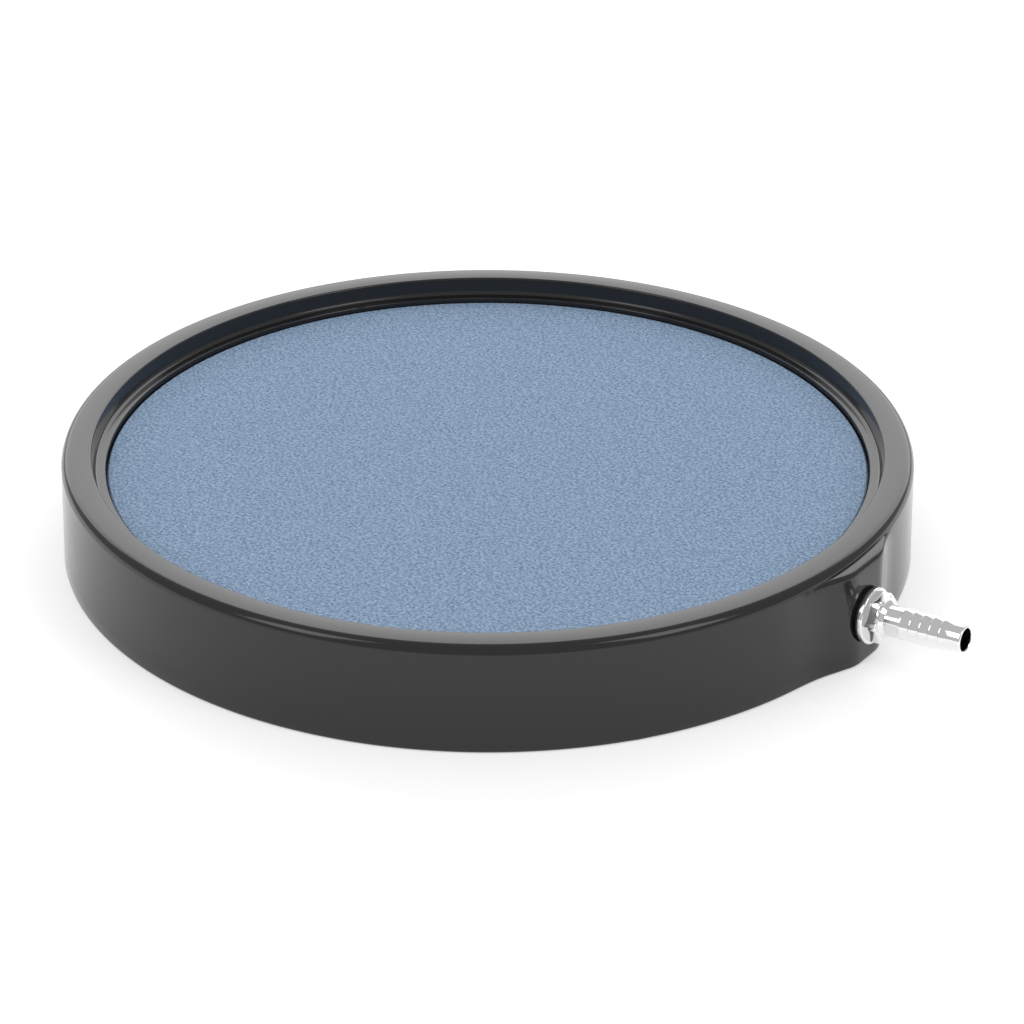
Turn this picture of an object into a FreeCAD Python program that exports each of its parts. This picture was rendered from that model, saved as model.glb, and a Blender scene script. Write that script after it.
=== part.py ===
"""Fine bubble disc diffuser: a round moulded dish with a sintered stone set in its
recess, and a plated brass hose barb screwed into a flat-faced boss on its side.

Frame: +Z up, +X out along the hose barb, origin in the middle of the flat underside.
All lengths are in millimetres and all angles in degrees.
"""
import FreeCAD, Part
import math
import os

import Sketcher
from FreeCAD import Placement, Rotation, Vector

doc = FreeCAD.newDocument("disc_diffuser")

# ---------------------------------------------------------------- driving dimensions
SIZES = [
    # dish, outside
    ("rim_radius", 100.0, "outer radius of the wall, at the rim"),
    ("rim_height", 25.5, "underside to the flat land of the rim"),
    ("wall_draft", 1.5, "draft of the outer wall, wider at the foot"),
    ("rim_round", 1.4, "round on the outer edge of the land"),
    ("foot_round", 0.8, "round on the bottom edge"),
    # dish, recess
    ("land_width", 7.0, "width of the flat land"),
    ("lip_round", 0.5, "round on the inner edge of the land"),
    ("lip_lean", 0.4, "how far the recess wall leans inwards"),
    ("ledge_depth", 4.3, "land to the shiny ledge round the stone"),
    ("ledge_fillet", 1.0, "fillet where the recess wall meets the ledge"),
    ("ledge_round", 0.25, "round on the inner edge of the ledge"),
    ("seat_width", 3.0, "width of the hidden step that carries the stone"),
    ("floor_thickness", 3.0, "floor of the dish"),
    ("wall_thickness", 3.0, "skirt and walls round the cored rim"),
    # cored rim, open underneath
    ("core_count", 15, "core pockets round the rim"),
    ("web_angle", 1.3, "web left between two core pockets"),
    ("hub_angle", 14.0, "solid sector kept behind the boss"),
    # pads that back the stone up
    ("pad_count", 6, "pads in the ring"),
    ("pad_ring_radius", 45.0, "radius of the ring of pads"),
    ("pad_diameter", 9.0, "diameter of a pad"),
    ("pad_clearance", 0.2, "air left between a pad and the stone"),
    # boss on the side wall
    ("boss_reach", 103.2, "centre of the disc to the flat face"),
    ("boss_face_width", 17.0, "width of the flat face"),
    ("boss_foot_width", 43.0, "width of the boss where it leaves the wall"),
    ("boss_height", 22.5, "underside to the top of the boss"),
    ("boss_top_round", 1.5, "round along the top edges of the boss"),
    ("boss_corner_round", 1.0, "round on the upright corners of the boss"),
    ("boss_root", 4.5, "depth to which the boss is sunk into the wall"),
    # stone
    ("stone_radius", 89.5, "radius of the face of the stone"),
    ("stone_gap", 0.4, "gap between the stone and the dish, all round"),
    ("stone_recess", 5.4, "land to the face of the stone"),
    ("stone_flange", 6.4, "thickness of the stone over its seat"),
    ("stone_body_radius", 82.0, "radius of the thick middle of the stone"),
    ("stone_thickness", 14.1, "thickness of the stone in the middle"),
    ("stone_chamfer", 0.4, "broken edge round the face of the stone"),
    # sealant
    ("bed_thickness", 0.4, "sealant between the seat and the stone"),
    ("sealant_recess", 1.5, "face of the stone to the top of the sealant"),
    # hose barb and its washer
    ("nozzle_height", 10.7, "underside to the axis of the barb"),
    ("shank_diameter", 9.7, "outside of the screwed shank"),
    ("shank_length", 9.5, "length of the screwed shank"),
    ("shank_relief", 1.0, "room left past the end of the shank"),
    ("shank_clearance", 0.05, "radial clearance round the shank"),
    ("passage_diameter", 4.0, "air passage from the shank to the gallery"),
    ("washer_diameter", 12.2, "outside of the sealing washer"),
    ("washer_thickness", 0.8, "thickness of the sealing washer"),
    ("flange_diameter", 13.0, "round flange behind the hexagon"),
    ("flange_thickness", 1.1, "thickness of that flange"),
    ("flange_round", 0.35, "round on the front edge of the flange"),
    ("hex_flats", 10.0, "hexagon across its flats"),
    ("hex_thickness", 2.9, "length of the hexagon"),
    ("hex_bevel", 0.5, "axial length of the bevel on the hexagon's corners"),
    ("shoulder_diameter", 8.6, "shoulder in front of the hexagon"),
    ("shoulder_length", 0.9, "taper from the shoulder to the neck"),
    ("neck_diameter", 7.0, "plain neck behind the first ridge"),
    ("neck_length", 3.7, "length of the plain neck"),
    ("crest_diameter", 7.5, "crest of a hose ridge"),
    ("crest_land", 0.3, "flat along a crest"),
    ("valley_diameter", 6.6, "foot of a ridge's ramp"),
    ("ridge_pitch", 2.45, "crest to crest"),
    ("ridge_count", 5, "hose ridges"),
    ("tip_length", 2.7, "plain tip past the last ridge"),
    ("tip_bevel", 0.3, "bevel round the tip"),
    ("bore_diameter", 5.2, "air bore through the barb"),
]

# values that several sub-parts share, worked out from the sizes above
DERIVED = [
    ("stone_top", "rim_height - stone_recess"),
    ("stone_seat", "stone_top - stone_flange"),
    ("stone_under", "stone_top - stone_thickness"),
    ("ledge_level", "rim_height - ledge_depth"),
    ("seat_level", "stone_seat - bed_thickness"),
    ("pocket_radius", "stone_radius + stone_gap"),
    ("chamber_radius", "pocket_radius - seat_width"),
    ("land_radius", "rim_radius - land_width"),
    ("ledge_radius", "land_radius - lip_lean"),
    ("foot_radius", "rim_radius + rim_height * tan(wall_draft * 1 deg)"),
    ("sealant_top", "stone_top - sealant_recess"),
    ("core_pitch", "(360 - hub_angle) / core_count"),
    ("shank_bore", "shank_diameter + 2 * shank_clearance"),
    ("washer_bore", "shank_diameter + 2 * shank_clearance"),
    ("hex_start", "washer_thickness + flange_thickness"),
    ("neck_start", "hex_start + hex_thickness + shoulder_length"),
    ("ridge_start", "neck_start + neck_length"),
    ("tip_start", "ridge_start + ridge_pitch * ridge_count"),
    ("barb_reach", "tip_start + tip_length"),
    ("hex_corner", "hex_flats / 2 / cos(30 deg)"),
]

sheet = doc.addObject("Spreadsheet::Sheet", "sizes")
for row, (alias, value, meaning) in enumerate(SIZES, start=1):
    sheet.set(f"A{row}", alias)
    sheet.set(f"B{row}", str(value))
    sheet.set(f"C{row}", meaning)
    sheet.setAlias(f"B{row}", alias)
for row, (alias, formula) in enumerate(DERIVED, start=len(SIZES) + 2):
    sheet.set(f"A{row}", alias)
    sheet.set(f"B{row}", "=" + formula)
    sheet.setAlias(f"B{row}", alias)
doc.recompute()

NAMES = [entry[0] for entry in SIZES] + [entry[0] for entry in DERIVED]


def linked(expression):
    """The expression with each size's name pointed at the sheet."""
    words = expression.replace("(", "( ").replace(")", " )").split()
    return " ".join("sizes." + word if word in NAMES else word for word in words)


def value(expression):
    """The number that an expression over the sheet gives."""
    result = sheet.evalExpression(linked(expression))
    return float(getattr(result, "Value", result))


# ---------------------------------------------------------------- sketch and body helpers
def new_body(label):
    body = doc.addObject("PartDesign::Body", label)
    body.Label = label
    return body


def origin_feature(body, role):
    return next(item for item in body.Origin.OriginFeatures if item.Role == role)


def new_sketch(body, name, role, right="0", up="0", out="0"):
    """A sketch on one of the body's planes, its origin moved by three expressions."""
    sketch = body.newObject("Sketcher::SketchObject", name)
    sketch.AttachmentSupport = [(origin_feature(body, role), "")]
    sketch.MapMode = "FlatFace"
    for axis, expression in (("x", right), ("y", up), ("z", out)):
        if expression != "0":
            sketch.setExpression(f"AttachmentOffset.Base.{axis}", linked(expression))
    return sketch


def pin_down(sketch, edge, point, across, up):
    """Fix one point of the sketch at two expressions measured from its origin."""
    for kind, axis_line, expression in (("DistanceX", -2, across), ("DistanceY", -1, up)):
        if expression == "0":
            sketch.addConstraint(Sketcher.Constraint("PointOnObject", edge, point, axis_line))
            continue
        rule = Sketcher.Constraint(kind, -1, 1, edge, point, value(expression))
        index = sketch.addConstraint(rule)
        sketch.setExpression(f"Constraints[{index}]", linked(expression))


def closed_outline(sketch, corners):
    """Straight edges through the corners, each corner held by its two expressions."""
    points = [Vector(value(across), value(up), 0) for across, up in corners]
    for start, end in zip(points, points[1:] + points[:1]):
        sketch.addGeometry(Part.LineSegment(start, end), False)
    count = len(points)
    for edge in range(count):
        following = (edge + 1) % count
        sketch.addConstraint(Sketcher.Constraint("Coincident", edge, 2, following, 1))
    for edge, (across, up) in enumerate(corners):
        pin_down(sketch, edge, 1, across, up)


def circle_in(sketch, diameter, across="0", up="0"):
    """A circle of the given diameter, its centre held by two expressions."""
    centre = Vector(value(across), value(up), 0)
    edge = sketch.addGeometry(Part.Circle(centre, Vector(0, 0, 1), value(diameter) / 2), False)
    index = sketch.addConstraint(Sketcher.Constraint("Diameter", edge, value(diameter)))
    sketch.setExpression(f"Constraints[{index}]", linked(diameter))
    pin_down(sketch, edge, 3, across, up)


def hexagon_in(sketch, corner_radius):
    """A regular hexagon with two level sides, on a construction circle."""
    reach = value(corner_radius)
    points = [Vector(reach * math.cos(math.radians(60 * side)),
                     reach * math.sin(math.radians(60 * side)), 0) for side in range(6)]
    for start, end in zip(points, points[1:] + points[:1]):
        sketch.addGeometry(Part.LineSegment(start, end), False)
    circle = sketch.addGeometry(Part.Circle(Vector(0, 0, 0), Vector(0, 0, 1), reach), True)
    sketch.addConstraint(Sketcher.Constraint("Coincident", circle, 3, -1, 1))
    index = sketch.addConstraint(Sketcher.Constraint("Radius", circle, reach))
    sketch.setExpression(f"Constraints[{index}]", linked(corner_radius))
    for side in range(6):
        sketch.addConstraint(Sketcher.Constraint("Coincident", side, 2, (side + 1) % 6, 1))
        sketch.addConstraint(Sketcher.Constraint("PointOnObject", side, 1, circle))
    for side in range(1, 6):
        sketch.addConstraint(Sketcher.Constraint("Equal", 0, side))
    sketch.addConstraint(Sketcher.Constraint("Horizontal", 1))


def revolved(body, name, sketch, axis="V_Axis", kind="Revolution", angle="360"):
    feature = body.newObject(f"PartDesign::{kind}", name)
    feature.Profile = sketch
    feature.ReferenceAxis = (sketch, [axis])
    feature.Angle = value(angle)
    if angle != "360":
        feature.setExpression("Angle", linked(angle))
    doc.recompute()
    return feature


def padded(body, name, sketch, length):
    feature = body.newObject("PartDesign::Pad", name)
    feature.Profile = sketch
    feature.setExpression("Length", linked(length))
    doc.recompute()
    return feature


def bored(body, name, sketch, depth, reverse=False):
    feature = body.newObject("PartDesign::Pocket", name)
    feature.Profile = sketch
    feature.Reversed = reverse
    feature.setExpression("Length", linked(depth))
    doc.recompute()
    return feature


def round_patterned(body, name, feature, count, angle="360"):
    pattern = body.newObject("PartDesign::PolarPattern", name)
    pattern.Originals = [feature]
    pattern.Axis = (origin_feature(body, "Z_Axis"), [""])
    pattern.setExpression("Occurrences", linked(count))
    pattern.Angle = value(angle)
    if angle != "360":
        pattern.setExpression("Angle", linked(angle))
    body.Tip = pattern
    doc.recompute()
    return pattern


def eased(body, name, edges, size, kind="Fillet"):
    """A fillet or chamfer along the named edges of the body's last feature."""
    base = body.Tip
    feature = body.newObject(f"PartDesign::{kind}", name)
    feature.Base = (base, edges)
    feature.setExpression("Radius" if kind == "Fillet" else "Size", linked(size))
    doc.recompute()
    return feature


def edges_where(body, test):
    """Names of the edges of the body's last feature that pass the test."""
    shape = body.Tip.Shape
    return [f"Edge{number}" for number, edge in enumerate(shape.Edges, start=1)
            if not edge.Degenerated and test(edge)]


NEAR = 0.01


def is_ring(radius, level):
    """Test for a level circle about Z, of this radius and height."""
    def test(edge):
        curve = edge.Curve
        if not isinstance(curve, Part.Circle):
            return False
        centre = curve.Center
        off_axis = math.hypot(centre.x, centre.y)
        return (off_axis < NEAR and abs(curve.Radius - value(radius)) < NEAR
                and abs(centre.z - value(level)) < NEAR)
    return test


# ---------------------------------------------------------------- the dish
def build_housing():
    """One moulding: floor, seat, recess, cored rim, and the boss for the barb."""
    body = new_body("housing")

    section = new_sketch(body, "dish_section", "XZ_Plane")
    closed_outline(section, [
        ("0", "0"),
        ("foot_radius", "0"),
        ("rim_radius", "rim_height"),
        ("land_radius", "rim_height"),
        ("ledge_radius", "ledge_level"),
        ("pocket_radius", "ledge_level"),
        ("pocket_radius", "seat_level"),
        ("chamber_radius", "seat_level"),
        ("chamber_radius", "floor_thickness"),
        ("0", "floor_thickness"),
    ])
    revolved(body, "dish", section)

    # the boss is a level plan outline, sunk into the wall, so that its flanks run
    # out into the drafted wall by themselves
    plan = new_sketch(body, "boss_plan", "XY_Plane")
    foot = "sqrt(rim_radius * rim_radius - boss_foot_width * boss_foot_width / 4)"
    closed_outline(plan, [
        ("boss_reach", "boss_face_width / 2"),
        (foot, "boss_foot_width / 2"),
        (foot + " - boss_root", "boss_foot_width / 2 - boss_root"),
        (foot + " - boss_root", "boss_root - boss_foot_width / 2"),
        (foot, "0 - boss_foot_width / 2"),
        ("boss_reach", "0 - boss_face_width / 2"),
    ])
    padded(body, "boss", plan, "boss_height")

    def is_boss_corner(edge):
        low, high = edge.BoundBox.ZMin, edge.BoundBox.ZMax
        centre = edge.CenterOfMass
        upright = abs(high - low - value("boss_height")) < NEAR
        on_face = abs(centre.x - value("boss_reach")) < NEAR
        return upright and on_face

    def is_boss_top(edge):
        box = edge.BoundBox
        level = abs(box.ZMin - value("boss_height")) < NEAR and box.ZLength < NEAR
        outside = box.XMax > value("rim_radius") and isinstance(edge.Curve, (Part.Line, Part.Circle))
        touches_wall = is_wall_curve(edge)
        return level and outside and not touches_wall

    def is_wall_curve(edge):
        """Test for the curve where the boss's top face meets the drafted wall."""
        middle = edge.valueAt((edge.FirstParameter + edge.LastParameter) / 2)
        ends = edge.Vertexes
        turn = math.hypot(middle.x, middle.y)
        reach = [math.hypot(end.X, end.Y) for end in ends]
        return all(abs(radius - turn) < NEAR for radius in reach)

    eased(body, "boss_corners", edges_where(body, is_boss_corner), "boss_corner_round")
    eased(body, "boss_top_edge", edges_where(body, is_boss_top), "boss_top_round")
    eased(body, "rim_edge", edges_where(body, is_ring("rim_radius", "rim_height")), "rim_round")
    eased(body, "lip_edge", edges_where(body, is_ring("land_radius", "rim_height")), "lip_round")
    eased(body, "ledge_corner", edges_where(body, is_ring("ledge_radius", "ledge_level")),
          "ledge_fillet")
    eased(body, "ledge_edge", edges_where(body, is_ring("pocket_radius", "ledge_level")),
          "ledge_round")

    def is_foot_edge(edge):
        box = edge.BoundBox
        return abs(box.ZMin) < NEAR and box.ZLength < NEAR

    eased(body, "foot_edge", edges_where(body, is_foot_edge), "foot_round")

    # the rim is cored out from underneath; the sectors stop short of the boss's hub
    core = new_sketch(body, "core_section", "XZ_Plane")
    core.AttachmentOffset = Placement(Vector(0, 0, 0), Rotation(Vector(0, 1, 0), 1))
    core.setExpression("AttachmentOffset.Rotation.Angle",
                       linked("( hub_angle + web_angle ) / 2 * 1 deg"))
    slope = "tan(wall_draft * 1 deg)"
    closed_outline(core, [
        ("chamber_radius + wall_thickness", "0"),
        ("chamber_radius + wall_thickness", "seat_level - wall_thickness"),
        ("pocket_radius + wall_thickness", "seat_level"),
        ("pocket_radius + wall_thickness", "ledge_level - wall_thickness"),
        ("ledge_radius + wall_thickness", "ledge_level"),
        ("ledge_radius + wall_thickness", "rim_height - wall_thickness"),
        ("rim_radius - wall_thickness + wall_thickness * " + slope, "rim_height - wall_thickness"),
        ("foot_radius - wall_thickness", "0"),
    ])
    pocket = revolved(body, "core_pocket", core, kind="Groove", angle="core_pitch - web_angle")
    round_patterned(body, "core_pockets", pocket, "core_count",
                    "core_pitch * ( core_count - 1 )")

    # the screwed bore and the air passage, straight in from the flat face
    bore_sketch = new_sketch(body, "shank_hole", "YZ_Plane", up="nozzle_height",
                             out="boss_reach")
    circle_in(bore_sketch, "shank_bore")
    bored(body, "shank_socket", bore_sketch, "shank_length + shank_relief")
    passage_sketch = new_sketch(body, "passage_hole", "YZ_Plane", up="nozzle_height",
                                out="boss_reach")
    circle_in(passage_sketch, "passage_diameter")
    bored(body, "air_passage", passage_sketch, "boss_reach - stone_body_radius")

    # pads on the floor, just under the stone
    middle_sketch = new_sketch(body, "middle_pad_plan", "XY_Plane", out="floor_thickness / 2")
    circle_in(middle_sketch, "pad_diameter")
    pad_height = "stone_under - pad_clearance - floor_thickness / 2"
    padded(body, "middle_pad", middle_sketch, pad_height)
    ring_sketch = new_sketch(body, "ring_pad_plan", "XY_Plane", out="floor_thickness / 2")
    circle_in(ring_sketch, "pad_diameter", across="pad_ring_radius")
    ring_pad = padded(body, "ring_pad", ring_sketch, pad_height)
    round_patterned(body, "ring_pads", ring_pad, "pad_count")
    return body


# ---------------------------------------------------------------- stone and sealant
def build_stone():
    """Pressed and sintered in one piece, with a thin flange over a thicker middle."""
    body = new_body("stone_disc")
    section = new_sketch(body, "stone_section", "XZ_Plane")
    closed_outline(section, [
        ("0", "stone_under"),
        ("stone_body_radius", "stone_under"),
        ("stone_body_radius", "stone_seat"),
        ("stone_radius", "stone_seat"),
        ("stone_radius", "stone_top"),
        ("0", "stone_top"),
    ])
    revolved(body, "stone", section)
    eased(body, "stone_edge", edges_where(body, is_ring("stone_radius", "stone_top")),
          "stone_chamfer", kind="Chamfer")
    return body


def build_sealant():
    """The bed of sealant under the stone's flange, squeezed up into the gap round it."""
    body = new_body("stone_sealant")
    section = new_sketch(body, "sealant_section", "XZ_Plane")
    closed_outline(section, [
        ("chamber_radius", "seat_level"),
        ("pocket_radius", "seat_level"),
        ("pocket_radius", "sealant_top"),
        ("stone_radius", "sealant_top"),
        ("stone_radius", "stone_seat"),
        ("chamber_radius", "stone_seat"),
    ])
    revolved(body, "sealant", section)
    return body


# ---------------------------------------------------------------- barb and washer
def build_barb():
    """Turned from hexagon bar: screwed shank, flange, hexagon, neck and hose ridges."""
    body = new_body("hose_barb")

    flats = new_sketch(body, "hexagon_plan", "YZ_Plane", up="nozzle_height",
                       out="boss_reach + hex_start")
    hexagon_in(flats, "hex_corner")
    padded(body, "hexagon", flats, "hex_thickness")

    # a tool running round the front of the hexagon breaks its six corners
    bevel = new_sketch(body, "bevel_section", "XZ_Plane", right="boss_reach", up="nozzle_height")
    front = "hex_start + hex_thickness"
    closed_outline(bevel, [
        (front + " - hex_bevel", "hex_corner + hex_bevel"),
        (front + " - hex_bevel", "hex_corner"),
        (front, "hex_flats / 2"),
        (front + " + hex_bevel", "hex_flats / 2"),
        (front + " + hex_bevel", "hex_corner + hex_bevel"),
    ])
    revolved(body, "corner_bevel", bevel, axis="H_Axis", kind="Groove")

    turned = new_sketch(body, "turned_section", "XZ_Plane", right="boss_reach",
                        up="nozzle_height")
    outline = [
        ("0 - shank_length", "0"),
        ("0 - shank_length", "shank_diameter / 2"),
        ("washer_thickness", "shank_diameter / 2"),
        ("washer_thickness", "flange_diameter / 2"),
        ("hex_start", "flange_diameter / 2"),
        ("hex_start", "shoulder_diameter / 2"),
        (front, "shoulder_diameter / 2"),
        ("neck_start", "neck_diameter / 2"),
        ("ridge_start", "neck_diameter / 2"),
    ]
    for ridge in range(int(value("ridge_count"))):
        start = f"ridge_start + {ridge} * ridge_pitch"
        outline += [
            (start, "crest_diameter / 2"),
            (start + " + crest_land", "crest_diameter / 2"),
            (start + " + ridge_pitch", "valley_diameter / 2"),
        ]
    outline += [
        ("barb_reach - tip_bevel", "valley_diameter / 2"),
        ("barb_reach", "valley_diameter / 2 - tip_bevel"),
        ("barb_reach", "0"),
    ]
    closed_outline(turned, outline)
    revolved(body, "turned_form", turned, axis="H_Axis")

    def is_flange_front(edge):
        curve = edge.Curve
        if not isinstance(curve, Part.Circle):
            return False
        at_front = abs(curve.Center.x - value("boss_reach + hex_start")) < NEAR
        return at_front and abs(curve.Radius - value("flange_diameter / 2")) < NEAR

    eased(body, "flange_edge", edges_where(body, is_flange_front), "flange_round")

    bore = new_sketch(body, "bore_plan", "YZ_Plane", up="nozzle_height",
                      out="boss_reach - shank_length")
    circle_in(bore, "bore_diameter")
    bored(body, "air_bore", bore, "shank_length + barb_reach", reverse=True)
    return body


def build_washer():
    """The rubber washer squeezed between the boss and the barb's flange."""
    body = new_body("barb_washer")
    plan = new_sketch(body, "washer_plan", "YZ_Plane", up="nozzle_height", out="boss_reach")
    circle_in(plan, "washer_diameter")
    circle_in(plan, "washer_bore")
    padded(body, "washer", plan, "washer_thickness")
    return body


bodies = [build_housing(), build_stone(), build_sealant(), build_barb(), build_washer()]
doc.recompute()

# ---------------------------------------------------------------- checks and export
for item in doc.Objects:
    if "Invalid" in item.State or "Error" in item.State:
        raise RuntimeError(f"{item.Name} failed: {item.State}")
for body in bodies:
    if body.Shape.isNull() or not body.Shape.isValid():
        raise RuntimeError(f"{body.Label} has no valid shape")
    if len(body.Shape.Solids) != 1:
        raise RuntimeError(f"{body.Label} has {len(body.Shape.Solids)} solids")

os.makedirs("parts", exist_ok=True)
for body in bodies:
    body.Shape.exportStep(f"parts/{body.Label}.step")
    box = body.Shape.BoundBox
    print(f"{body.Label:14s} {body.Shape.Volume / 1000:9.3f} cm3  "
          f"x {box.XMin:8.2f} {box.XMax:8.2f}  y {box.YMin:8.2f} {box.YMax:8.2f}  "
          f"z {box.ZMin:7.2f} {box.ZMax:7.2f}")
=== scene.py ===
# %% [markdown]
# # Fine bubble disc diffuser
# A glossy black dish holds a blue-grey sintered stone in a stepped recess. A plated
# hose barb is screwed into a flat-faced boss on its side, over a rubber washer.
# Everything is in metres in the part's own frame: +Z up out of the stone, +X out
# along the hose barb, origin in the middle of the flat underside.

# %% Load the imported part
import math

import bmesh
import bpy
from mathutils import Matrix, Vector


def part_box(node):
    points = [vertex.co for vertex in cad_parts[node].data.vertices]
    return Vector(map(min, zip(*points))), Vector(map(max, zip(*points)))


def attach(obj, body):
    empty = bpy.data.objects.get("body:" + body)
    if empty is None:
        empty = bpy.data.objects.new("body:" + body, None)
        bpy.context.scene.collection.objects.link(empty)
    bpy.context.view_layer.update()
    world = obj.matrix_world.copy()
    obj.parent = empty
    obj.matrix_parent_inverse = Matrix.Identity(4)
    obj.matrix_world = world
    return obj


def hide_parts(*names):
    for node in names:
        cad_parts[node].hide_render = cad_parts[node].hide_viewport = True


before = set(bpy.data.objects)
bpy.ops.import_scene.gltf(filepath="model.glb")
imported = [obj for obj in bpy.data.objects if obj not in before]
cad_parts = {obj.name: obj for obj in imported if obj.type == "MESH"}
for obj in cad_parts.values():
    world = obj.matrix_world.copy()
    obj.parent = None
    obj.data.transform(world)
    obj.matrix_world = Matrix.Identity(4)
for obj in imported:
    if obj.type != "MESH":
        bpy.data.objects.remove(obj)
bpy.context.view_layer.update()
MM = 0.001
FULL_TURN = 2 * math.pi

# %% [markdown]
# ## Sizes
# The dish follows the CAD solids. The round on the rim, the lean of the boss's face
# and the run-out of its flanks are finer here than in the solids.

# %% Sizes of the dish, the stone and the barb
stone_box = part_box("stone_disc")
STONE_RADIUS = stone_box[1][0]
STONE_TOP = stone_box[1][2]
STONE_UNDER = stone_box[0][2]
STONE_BODY_RADIUS = 82.0 * MM
STONE_SEAT = 13.7 * MM
STONE_EDGE = 0.35 * MM

RIM_RADIUS = 100.0 * MM
RIM_HEIGHT = 25.5 * MM
WALL_DRAFT = math.radians(1.5)
RIM_ROUND = 2.1 * MM
FOOT_ROUND = 0.8 * MM
LAND_RADIUS = 93.0 * MM
LIP_ROUND = 0.45 * MM
LEDGE_RADIUS = 92.6 * MM
LEDGE_LEVEL = 21.2 * MM
LEDGE_COVE = 1.0 * MM
LEDGE_EDGE = 0.25 * MM
POCKET_RADIUS = 89.9 * MM
SEAT_LEVEL = 13.3 * MM
CHAMBER_RADIUS = 86.9 * MM
FLOOR = 3.0 * MM
FLAT_RINGS = (20 * MM, 60 * MM)
UNDERSIDE_EDGE = 86 * MM

BOSS_TOP = 23.7 * MM
BOSS_TOP_ROUND = 1.1 * MM
BOSS_REACH = 104.15 * MM
BOSS_LEAN = math.radians(3.5)
FACE_HALF_WIDTH = 5.0 * MM
FLANK_SLOPE = 0.43
CORNER_BLEND = 0.9 * MM
WALL_BLEND = 1.3 * MM
FLANK_DRAFT_SHARE = 1.08
BOSS_SIDE_COSINE = 0.8
BOSS_LEDGE_STEP = 0.02 * MM

SOCKET_RADIUS = 4.9 * MM
SOCKET_DEPTH = 10.5 * MM
PASSAGE_RADIUS = 2.0 * MM
PASSAGE_DEPTH = 21 * MM
CORE_COUNT = 15
HUB_ANGLE = 14.0
WEB_ANGLE = 1.3
SEALANT_TOP = 18.6 * MM

AXIS_HEIGHT = 11.1 * MM
MOUTH_REACH = BOSS_REACH - AXIS_HEIGHT * math.tan(BOSS_LEAN)
print("stone radius", round(STONE_RADIUS, 4), "mouth of the screwed hole", round(MOUTH_REACH, 4))

# %% [markdown]
# ## Mesh helpers
# A lathe turns a closed outline round an axis; the dish uses the same ring-by-ring
# build with an outline that changes with the azimuth, so that the boss is part of it.

# %% Mesh helpers
def face_outwards(mesh):
    """Turn every face of a closed mesh to look outwards."""
    work = bmesh.new()
    work.from_mesh(mesh)
    bmesh.ops.recalc_face_normals(work, faces=work.faces)
    work.to_mesh(mesh)
    work.free()


def new_piece(name, points, faces, sharp=30.0):
    mesh = bpy.data.meshes.new(name)
    mesh.from_pydata(points, [], faces)
    mesh.validate()
    face_outwards(mesh)
    mesh.shade_smooth()
    mesh.set_sharp_from_angle(angle=math.radians(sharp))
    piece = bpy.data.objects.new(name, mesh)
    bpy.context.scene.collection.objects.link(piece)
    return piece


def rings_to_faces(ring_count, ring_size, closed_outline):
    """Quads between neighbouring rings; the last ring joins the first."""
    faces = []
    spans = ring_size if closed_outline else ring_size - 1
    for ring in range(ring_count):
        here, there = ring * ring_size, (ring + 1) % ring_count * ring_size
        for place in range(spans):
            after = (place + 1) % ring_size
            faces.append((here + place, there + place, there + after, here + after))
    return faces


def arc(centre, radius, start, end, steps):
    """Points (across, up) round a centre, angles in degrees."""
    return [(centre[0] + radius * math.cos(math.radians(start + (end - start) * step / steps)),
             centre[1] + radius * math.sin(math.radians(start + (end - start) * step / steps)))
            for step in range(steps + 1)]


def lathe(name, outline, segments=192, sharp=30.0):
    """Turn an outline of (radius, height) about Z. Points on the axis become one pole."""
    points, place = [], []
    for radius, height in outline:
        if radius < 1e-9:
            place.append([len(points)] * segments)
            points.append((0.0, 0.0, height))
            continue
        place.append(list(range(len(points), len(points) + segments)))
        for step in range(segments):
            turn = FULL_TURN * step / segments
            points.append((radius * math.cos(turn), radius * math.sin(turn), height))
    faces = []
    count = len(outline)
    on_axis = outline[0][0] < 1e-9 and outline[-1][0] < 1e-9
    for row in range(count - 1 if on_axis else count):
        below, above = place[row], place[(row + 1) % count]
        for step in range(segments):
            after = (step + 1) % segments
            corners = [below[step], below[after], above[after], above[step]]
            unique = list(dict.fromkeys(corners))
            if len(unique) > 2:
                faces.append(unique)
    return new_piece(name, points, faces, sharp)


def cut_away(piece, cutters):
    """Cut closed meshes out of a piece one after another, then keep the result."""
    for cutter in cutters:
        change = piece.modifiers.new("cut", "BOOLEAN")
        change.operation = "DIFFERENCE"
        change.solver = "FAST"
        change.object = cutter
    bpy.context.view_layer.update()
    graph = bpy.context.evaluated_depsgraph_get()
    mesh = bpy.data.meshes.new_from_object(piece.evaluated_get(graph))
    piece.modifiers.clear()
    piece.data = mesh
    mesh.shade_smooth()
    mesh.set_sharp_from_angle(angle=math.radians(30))
    for cutter in cutters:
        bpy.data.objects.remove(cutter)


print("helpers ready")

# %% [markdown]
# ## The dish
# For each azimuth the outer side is the larger of the drafted wall and the boss. A
# smooth minimum rounds the boss's upright corners, and a smooth maximum gives the
# hollow where its flanks run out into the wall.

# %% The dish and its boss
def smooth_min(one, other, blend):
    mix = max(blend - abs(one - other), 0.0) / blend
    return min(one, other) - mix * mix * blend / 4


def smooth_max(one, other, blend):
    return -smooth_min(-one, -other, blend)


def wall_radius(height):
    return RIM_RADIUS + (RIM_HEIGHT - height) * math.tan(WALL_DRAFT)


def rim_radius_at(height):
    """Radius of the wall and of the round over it."""
    centre = RIM_RADIUS - RIM_ROUND
    rise = height - (RIM_HEIGHT - RIM_ROUND)
    if rise <= 0:
        return wall_radius(height)
    return centre + math.sqrt(max(RIM_ROUND ** 2 - rise ** 2, 0.0))


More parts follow.
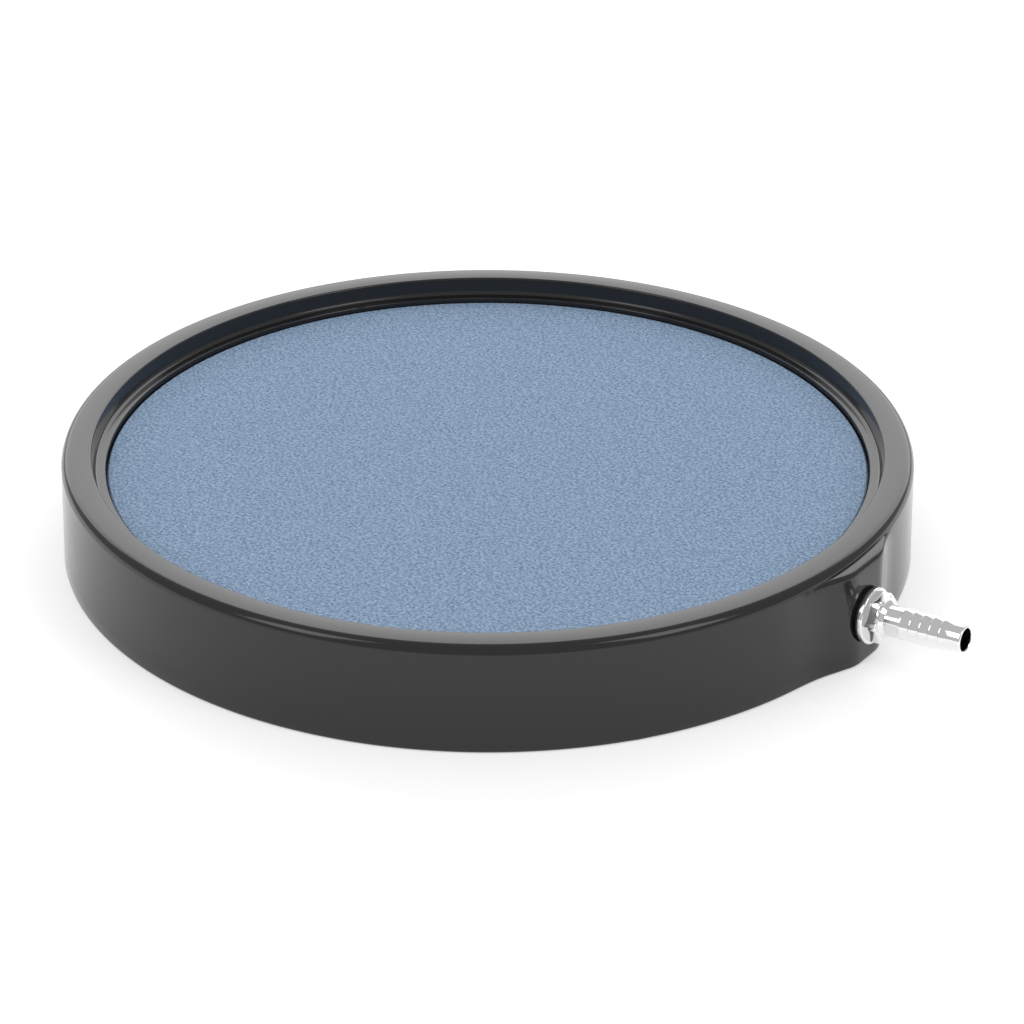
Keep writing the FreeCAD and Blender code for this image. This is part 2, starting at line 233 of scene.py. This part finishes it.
def side_radius(azimuth, height):
    """Radius of the dish's side, boss included, at this azimuth and height."""
    wall = wall_radius(height)
    across, out = abs(math.sin(azimuth)), math.cos(azimuth)
    if out < BOSS_SIDE_COSINE:
        return wall
    shrink = height * math.tan(BOSS_LEAN)
    face = (BOSS_REACH - shrink) / out
    flank_draft = height * math.tan(WALL_DRAFT) * FLANK_DRAFT_SHARE
    flank = (BOSS_REACH + FLANK_SLOPE * FACE_HALF_WIDTH - flank_draft) / (
        out + FLANK_SLOPE * across)
    boss = smooth_min(face, flank, CORNER_BLEND)
    return smooth_max(boss, wall, WALL_BLEND)


def dish_outline(azimuth):
    """Outline of the dish at one azimuth, from the underside's middle to the floor's."""
    wall_steps, round_steps = 8, 6
    outline = [(radius, 0.0) for radius in FLAT_RINGS + (UNDERSIDE_EDGE,)]
    foot = side_radius(azimuth, 0.0)
    outline += arc((foot - FOOT_ROUND, FOOT_ROUND), FOOT_ROUND, -90, 0, 4)
    shoulder = BOSS_TOP - BOSS_TOP_ROUND
    for step in range(1, wall_steps + 1):
        height = FOOT_ROUND + (shoulder - FOOT_ROUND) * step / wall_steps
        outline.append((side_radius(azimuth, height), height))
    for step in range(1, round_steps + 1):
        turn = math.radians(90 * step / round_steps)
        height = shoulder + BOSS_TOP_ROUND * math.sin(turn)
        inset = BOSS_TOP_ROUND * (1 - math.cos(turn))
        outline.append((max(side_radius(azimuth, height) - inset, rim_radius_at(height)), height))
    outline.append((rim_radius_at(BOSS_TOP) + BOSS_LEDGE_STEP, BOSS_TOP))
    start = math.degrees(math.asin((BOSS_TOP - RIM_HEIGHT + RIM_ROUND) / RIM_ROUND))
    outline += arc((RIM_RADIUS - RIM_ROUND, RIM_HEIGHT - RIM_ROUND), RIM_ROUND, start, 90, 7)
    outline += arc((LAND_RADIUS + LIP_ROUND, RIM_HEIGHT - LIP_ROUND), LIP_ROUND, 90, 176, 4)
    outline += arc((LEDGE_RADIUS - LEDGE_COVE, LEDGE_LEVEL + LEDGE_COVE), LEDGE_COVE, 0, -90, 5)
    outline += arc((POCKET_RADIUS + LEDGE_EDGE, LEDGE_LEVEL - LEDGE_EDGE), LEDGE_EDGE, 90, 180, 3)
    outline += [(POCKET_RADIUS, SEAT_LEVEL), (CHAMBER_RADIUS, SEAT_LEVEL),
                (CHAMBER_RADIUS, FLOOR)]
    return outline + [(radius, FLOOR) for radius in reversed(FLAT_RINGS)]


def build_dish():
    """Rings of one outline each, close together at the boss and wider round the rest."""
    fine = [math.radians(-22 + 0.4 * step) for step in range(111)]
    coarse = [math.radians(22.4 + (337.6 - 22.4) * step / 210) for step in range(211)]
    azimuths = fine + coarse
    points = []
    for azimuth in azimuths:
        for radius, height in dish_outline(azimuth):
            points.append((radius * math.cos(azimuth), radius * math.sin(azimuth), height))
    size = len(points) // len(azimuths)
    faces = rings_to_faces(len(azimuths), size, False)
    under, over = len(points), len(points) + 1
    points += [(0.0, 0.0, 0.0), (0.0, 0.0, FLOOR)]
    for ring in range(len(azimuths)):
        after = (ring + 1) % len(azimuths)
        faces.append((under, after * size, ring * size))
        faces.append((over, ring * size + size - 1, after * size + size - 1))
    return new_piece("dish", points, faces)


def tilted(matrix_along):
    """Place something built along +X from the mouth of the hole on the leaning face."""
    lean = Matrix.Rotation(-BOSS_LEAN, 4, "Y")
    return Matrix.Translation(Vector((MOUTH_REACH, 0, AXIS_HEIGHT))) @ lean @ matrix_along


def rod(name, radius, start, end, segments=64):
    """A closed rod along the barb's axis, measured from the mouth of the hole."""
    piece = lathe(name, [(0.0, start), (radius, start), (radius, end), (0.0, end)], segments)
    piece.data.transform(tilted(Matrix.Rotation(math.pi / 2, 4, "Y")))
    return piece


def core_cutter(number):
    """One core pocket of the rim, open underneath."""
    pitch = (360 - HUB_ANGLE) / CORE_COUNT
    first = (HUB_ANGLE + WEB_ANGLE) / 2 + number * pitch
    outline = [(89.9, -1.0), (97.7, -1.0), (97.1, 22.5), (95.6, 22.5), (95.6, 21.2),
               (92.9, 18.2), (92.9, 13.3), (89.9, 10.3)]
    steps = 12
    points, faces = [], []
    for step in range(steps + 1):
        turn = math.radians(first + (pitch - WEB_ANGLE) * step / steps)
        points += [(radius * MM * math.cos(turn), radius * MM * math.sin(turn), height * MM)
                   for radius, height in outline]
    size = len(outline)
    for step in range(steps):
        for place in range(size):
            after = (place + 1) % size
            faces.append((step * size + place, (step + 1) * size + place,
                          (step + 1) * size + after, step * size + after))
    faces.append(tuple(range(size)))
    faces.append(tuple(reversed(range(steps * size, steps * size + size))))
    return new_piece(f"core_{number}", points, faces)


dish = build_dish()
cutters = [rod("socket", SOCKET_RADIUS, -SOCKET_DEPTH, 1 * MM),
           rod("passage", PASSAGE_RADIUS, -PASSAGE_DEPTH, 0.0)]
cutters += [core_cutter(number) for number in range(CORE_COUNT)]
cut_away(dish, cutters)
print("dish", len(dish.data.vertices), "vertices")

# %% [markdown]
# ## Stone, sealant, washer and barb
# All but the hexagon are turned on a lathe. The barb's hose ridges come from a loop.
# The hexagon is a ring of its own behind the neck, its front corners bevelled.

# %% The stone and its sealant
stone = lathe("stone", [
    (0.0, STONE_UNDER), (STONE_BODY_RADIUS, STONE_UNDER), (STONE_BODY_RADIUS, STONE_SEAT),
    (STONE_RADIUS, STONE_SEAT), (STONE_RADIUS, STONE_TOP - STONE_EDGE),
    (STONE_RADIUS - STONE_EDGE, STONE_TOP), (60 * MM, STONE_TOP), (30 * MM, STONE_TOP),
    (0.0, STONE_TOP)])
sealant = lathe("sealant", [
    (CHAMBER_RADIUS, SEAT_LEVEL), (POCKET_RADIUS, SEAT_LEVEL), (POCKET_RADIUS, SEALANT_TOP),
    (STONE_RADIUS, SEALANT_TOP), (STONE_RADIUS, STONE_SEAT), (CHAMBER_RADIUS, STONE_SEAT)])
print("stone and sealant made")

# %% The hose barb and its washer
SHANK_LENGTH = 9.5 * MM
SHANK_RADIUS = 4.85 * MM
WASHER = 0.8 * MM
WASHER_RADIUS = 6.1 * MM
WASHER_SOFTENED = 6.0 * MM
FLANGE_RADIUS = 6.5 * MM
FLANGE_ROUND = 0.35 * MM
FLANGE_END = 1.9 * MM
SHOULDER_RADIUS = 4.3 * MM
NECK_RADIUS = 3.5 * MM
HEX_HALF_FLATS = 5.0 * MM
HEX_INSIDE = 4.0 * MM
HEX_END = 4.8 * MM
NECK_START = 5.7 * MM
RIDGE_START = 9.4 * MM
RIDGE_PITCH = 2.45 * MM
RIDGES = 5
CREST_RADIUS = 3.75 * MM
VALLEY_RADIUS = 3.3 * MM
# one ridge's crest, as (radius, distance past the ridge's start)
CREST = ((3.68 * MM, 0.0), (CREST_RADIUS, 0.08 * MM), (CREST_RADIUS, 0.3 * MM),
         (3.66 * MM, 0.5 * MM))
RIDGE_LEAD = 0.02 * MM
BARB_END = 24.35 * MM
TIP_ROUND = 0.3 * MM
BORE = 2.6 * MM
BORE_BEVEL = 0.15 * MM


def barb_outline():
    """(radius, distance along the axis) from the shank's end to the tip, bore outwards."""
    outline = [(BORE, -SHANK_LENGTH), (SHANK_RADIUS, -SHANK_LENGTH), (SHANK_RADIUS, WASHER),
               (FLANGE_RADIUS, WASHER)]
    outline += arc((FLANGE_RADIUS - FLANGE_ROUND, FLANGE_END - FLANGE_ROUND), FLANGE_ROUND,
                   0, 90, 4)
    outline += [(SHOULDER_RADIUS, FLANGE_END), (SHOULDER_RADIUS, HEX_END),
                (NECK_RADIUS, NECK_START)]
    for ridge in range(RIDGES):
        start = RIDGE_START + ridge * RIDGE_PITCH
        outline.append((NECK_RADIUS if ridge == 0 else VALLEY_RADIUS, start - RIDGE_LEAD))
        outline += [(radius, start + past) for radius, past in CREST]
    outline.append((VALLEY_RADIUS, RIDGE_START + RIDGES * RIDGE_PITCH))
    outline += arc((VALLEY_RADIUS - TIP_ROUND, BARB_END - TIP_ROUND), TIP_ROUND, 0, 90, 4)
    outline += [(BORE + BORE_BEVEL, BARB_END), (BORE, BARB_END - BORE_BEVEL)]
    return outline


def build_hexagon():
    """The hexagon behind the neck: rings of many points, six-sided, bevelled in front."""
    flats, segments = HEX_HALF_FLATS, 96
    rows = [(FLANGE_END, 0.0), (HEX_END - 0.45 * MM, 0.0), (HEX_END - 0.2 * MM, 0.3 * MM),
            (HEX_END, 0.75 * MM)]
    points, faces = [], []
    for height, bevel in rows:
        for step in range(segments):
            turn = FULL_TURN * step / segments
            side = (turn + math.pi / 6) % (math.pi / 3) - math.pi / 6
            reach = min(flats / math.cos(side), flats / math.cos(math.pi / 6) - bevel)
            points.append((height, reach * math.sin(turn), reach * math.cos(turn)))
    for row in range(len(rows) - 1):
        for step in range(segments):
            after = (step + 1) % segments
            faces.append((row * segments + step, row * segments + after,
                          (row + 1) * segments + after, (row + 1) * segments + step))
    inner = len(points)
    for height in (FLANGE_END, HEX_END):
        for step in range(segments):
            turn = FULL_TURN * step / segments
            points.append((height, HEX_INSIDE * math.sin(turn), HEX_INSIDE * math.cos(turn)))
    last = (len(rows) - 1) * segments
    for step in range(segments):
        after = (step + 1) % segments
        faces.append((last + step, last + after, inner + segments + after,
                      inner + segments + step))
        faces.append((after, step, inner + step, inner + after))
        faces.append((inner + after, inner + step, inner + segments + step,
                      inner + segments + after))
    return new_piece("barb_hexagon", points, faces, 25)


along_axis = tilted(Matrix.Rotation(math.pi / 2, 4, "Y"))
barb = lathe("hose_barb", barb_outline(), 128, 25)
barb.data.transform(along_axis)
hexagon = build_hexagon()
hexagon.data.transform(tilted(Matrix.Identity(4)))
washer = lathe("washer", [(SOCKET_RADIUS, 0.0), (WASHER_SOFTENED, 0.0),
                          (WASHER_RADIUS, 0.1 * MM), (WASHER_RADIUS, 0.7 * MM),
                          (WASHER_SOFTENED, WASHER), (SOCKET_RADIUS, WASHER)], 96)
washer.data.transform(along_axis)
print("barb made, reach", round(BARB_END + MOUTH_REACH, 4))

# %% [markdown]
# ## Materials
# The pieces' finishes are procedural and read Object coordinates.

# %% Materials
def new_material(name, colour, metallic=0.0, roughness=0.5):
    material = bpy.data.materials.new(name)
    material.use_nodes = True
    shader = material.node_tree.nodes["Principled BSDF"]
    shader.inputs["Base Color"].default_value = (*colour, 1)
    shader.inputs["Metallic"].default_value = metallic
    shader.inputs["Roughness"].default_value = roughness
    return material, material.node_tree.nodes, material.node_tree.links, shader


def noise(nodes, links, coordinates, scale, detail=4.0):
    texture = nodes.new("ShaderNodeTexNoise")
    texture.inputs["Scale"].default_value = scale
    texture.inputs["Detail"].default_value = detail
    links.new(coordinates.outputs["Object"], texture.inputs["Vector"])
    return texture


def spread(nodes, links, source, low, high, to_low, to_high):
    change = nodes.new("ShaderNodeMapRange")
    for socket, number in (("From Min", low), ("From Max", high), ("To Min", to_low),
                           ("To Max", to_high)):
        change.inputs[socket].default_value = number
    links.new(source, change.inputs["Value"])
    return change.outputs["Result"]


def bumped(nodes, links, source, shader, strength, distance):
    bump = nodes.new("ShaderNodeBump")
    bump.inputs["Strength"].default_value = strength
    bump.inputs["Distance"].default_value = distance
    links.new(source, bump.inputs["Height"])
    links.new(bump.outputs["Normal"], shader.inputs["Normal"])


def black_plastic():
    material, nodes, links, shader = new_material("glossy_black_plastic", (0.012, 0.012, 0.013))
    shader.inputs["IOR"].default_value = 1.5
    place = nodes.new("ShaderNodeTexCoord")
    fine = noise(nodes, links, place, 900)
    links.new(spread(nodes, links, fine.outputs["Fac"], 0.3, 0.7, 0.10, 0.16),
              shader.inputs["Roughness"])
    bumped(nodes, links, noise(nodes, links, place, 60, 2).outputs["Fac"], shader, 0.05, 0.0002)
    return material


def sintered_stone():
    material, nodes, links, shader = new_material("sintered_stone", (0.25, 0.356, 0.503),
                                                  roughness=0.92)
    shader.inputs["Specular IOR Level"].default_value = 0.2
    place = nodes.new("ShaderNodeTexCoord")
    grain = noise(nodes, links, place, 1500, 3)
    speckle = nodes.new("ShaderNodeTexVoronoi")
    speckle.inputs["Scale"].default_value = 900
    links.new(place.outputs["Object"], speckle.inputs["Vector"])
    ramp = nodes.new("ShaderNodeValToRGB")
    low, high = ramp.color_ramp.elements
    low.position, low.color = 0.30, (0.13, 0.20, 0.31, 1)
    high.position, high.color = 0.72, (0.40, 0.52, 0.68, 1)
    middle = ramp.color_ramp.elements.new(0.5)
    middle.color = (0.25, 0.356, 0.503, 1)
    links.new(grain.outputs["Fac"], ramp.inputs["Fac"])
    dark = nodes.new("ShaderNodeMix")
    dark.data_type = "RGBA"
    dark.blend_type = "MULTIPLY"
    dark.inputs["B"].default_value = (0.62, 0.66, 0.72, 1)
    links.new(ramp.outputs["Color"], dark.inputs["A"])
    links.new(spread(nodes, links, speckle.outputs["Distance"], 0.0, 0.25, 0.8, 0.0),
              dark.inputs["Factor"])
    links.new(dark.outputs["Result"], shader.inputs["Base Color"])
    bumped(nodes, links, grain.outputs["Fac"], shader, 0.6, 0.0003)
    return material


def plated_metal():
    material, nodes, links, shader = new_material("bright_plating", (0.83, 0.83, 0.84), 1.0, 0.08)
    place = nodes.new("ShaderNodeTexCoord")
    links.new(spread(nodes, links, noise(nodes, links, place, 700).outputs["Fac"],
                     0.3, 0.7, 0.05, 0.12), shader.inputs["Roughness"])
    return material


def plain_soft(name, colour, roughness):
    material, nodes, links, shader = new_material(name, colour, 0.0, roughness)
    place = nodes.new("ShaderNodeTexCoord")
    bumped(nodes, links, noise(nodes, links, place, 800).outputs["Fac"], shader, 0.2, 0.0001)
    return material


finishes = {dish: black_plastic(), stone: sintered_stone(),
            sealant: plain_soft("dark_sealant", (0.05, 0.055, 0.06), 0.6),
            washer: plain_soft("black_rubber", (0.02, 0.02, 0.02), 0.7)}
finishes[barb] = finishes[hexagon] = plated_metal()
for piece, finish in finishes.items():
    piece.data.materials.clear()
    piece.data.materials.append(finish)
print(len(bpy.data.materials), "materials")

# %% [markdown]
# ## Ties to the frame

# %% Hang each piece from the root body and hide the CAD node it stands in for
for piece, node, slot_name in ((dish, "housing", "housing_plastic"),
                               (stone, "stone_disc", "sintered_stone"),
                               (sealant, "stone_sealant", "sealant"),
                               (barb, "hose_barb", "plated_barb"),
                               (hexagon, "hose_barb", "plated_barb"),
                               (washer, "barb_washer", "washer_rubber")):
    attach(piece, "root")
    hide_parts(node)
print("pieces tied")

# %% [markdown]
# ## Floor, light and camera
# A white floor that shows white to the camera and to reflections and keeps the
# contact shadow; a broad panel behind, and a softbox on each side.

# %% Floor
floor = new_piece("floor", [(-6, -6, 0), (6, -6, 0), (6, 6, 0), (-6, 6, 0)], [(0, 1, 2, 3)])


def white_floor():
    material, nodes, links, shader = new_material("white_floor", (0.86, 0.86, 0.86), 0.0, 0.9)
    shader.inputs["Specular IOR Level"].default_value = 0.0
    path = nodes.new("ShaderNodeLightPath")
    seen = nodes.new("ShaderNodeMath")
    seen.operation = "MAXIMUM"
    links.new(path.outputs["Is Camera Ray"], seen.inputs[0])
    links.new(path.outputs["Is Glossy Ray"], seen.inputs[1])
    glow = nodes.new("ShaderNodeEmission")
    strength = nodes.new("ShaderNodeMath")
    strength.operation = "MULTIPLY"
    strength.inputs[1].default_value = 0.42
    links.new(seen.outputs[0], strength.inputs[0])
    links.new(strength.outputs[0], glow.inputs["Strength"])
    total = nodes.new("ShaderNodeAddShader")
    links.new(shader.outputs[0], total.inputs[0])
    links.new(glow.outputs[0], total.inputs[1])
    links.new(total.outputs[0], nodes["Material Output"].inputs["Surface"])
    return material


floor.data.materials.append(white_floor())
print("floor made")

# %% World and lamps
VIEW_TURN = math.radians(34.8)
turn_to_view = Matrix.Rotation(VIEW_TURN, 4, "Z")

world = bpy.data.worlds.new("studio")
bpy.context.scene.world = world
world.use_nodes = True
background = world.node_tree.nodes["Background"]
background.inputs["Color"].default_value = (1, 1, 1, 1)
background.inputs["Strength"].default_value = 0.55


def softbox(name, place, target, width, height, radiance):
    """An area lamp of the given radiance, placed in the view's own axes."""
    lamp = bpy.data.lights.new(name, "AREA")
    lamp.shape = "RECTANGLE"
    lamp.size, lamp.size_y = width, height
    lamp.energy = radiance * math.pi * width * height
    holder = bpy.data.objects.new(name, lamp)
    bpy.context.scene.collection.objects.link(holder)
    aim = (Vector(target) - Vector(place)).to_track_quat("-Z", "Y").to_matrix().to_4x4()
    holder.matrix_world = turn_to_view @ Matrix.Translation(Vector(place)) @ aim
    holder.visible_camera = False


softbox("back_panel", (0.0, 1.6, 0.9), (0, 0, 0), 3.2, 1.3, 1.7)
softbox("left_softbox", (-0.75, -0.55, 0.85), (0, 0, 0), 0.45, 0.7, 2.2)
softbox("right_softbox", (0.75, -0.55, 0.85), (0, 0, 0), 0.45, 0.7, 2.2)
print("lamps", len(bpy.data.lights))

# %% Camera
CAMERA_PLACE = Vector((0.00573, -0.7002, 0.3722))
CAMERA_PITCH = math.radians(27.65)
CAMERA_ROLL = math.radians(0.27)
camera = bpy.data.cameras.new("camera")
camera.lens = 116.4
camera.sensor_width = 36
camera_holder = bpy.data.objects.new("camera", camera)
bpy.context.scene.collection.objects.link(camera_holder)
look = (Matrix.Rotation(math.pi / 2 - CAMERA_PITCH, 4, "X") @
        Matrix.Rotation(CAMERA_ROLL, 4, "Z"))
camera_holder.matrix_world = turn_to_view @ Matrix.Translation(CAMERA_PLACE) @ look
camera.clip_end = 50
bpy.context.scene.camera = camera_holder
bpy.context.scene.view_settings.view_transform = "Standard"
print("camera set")
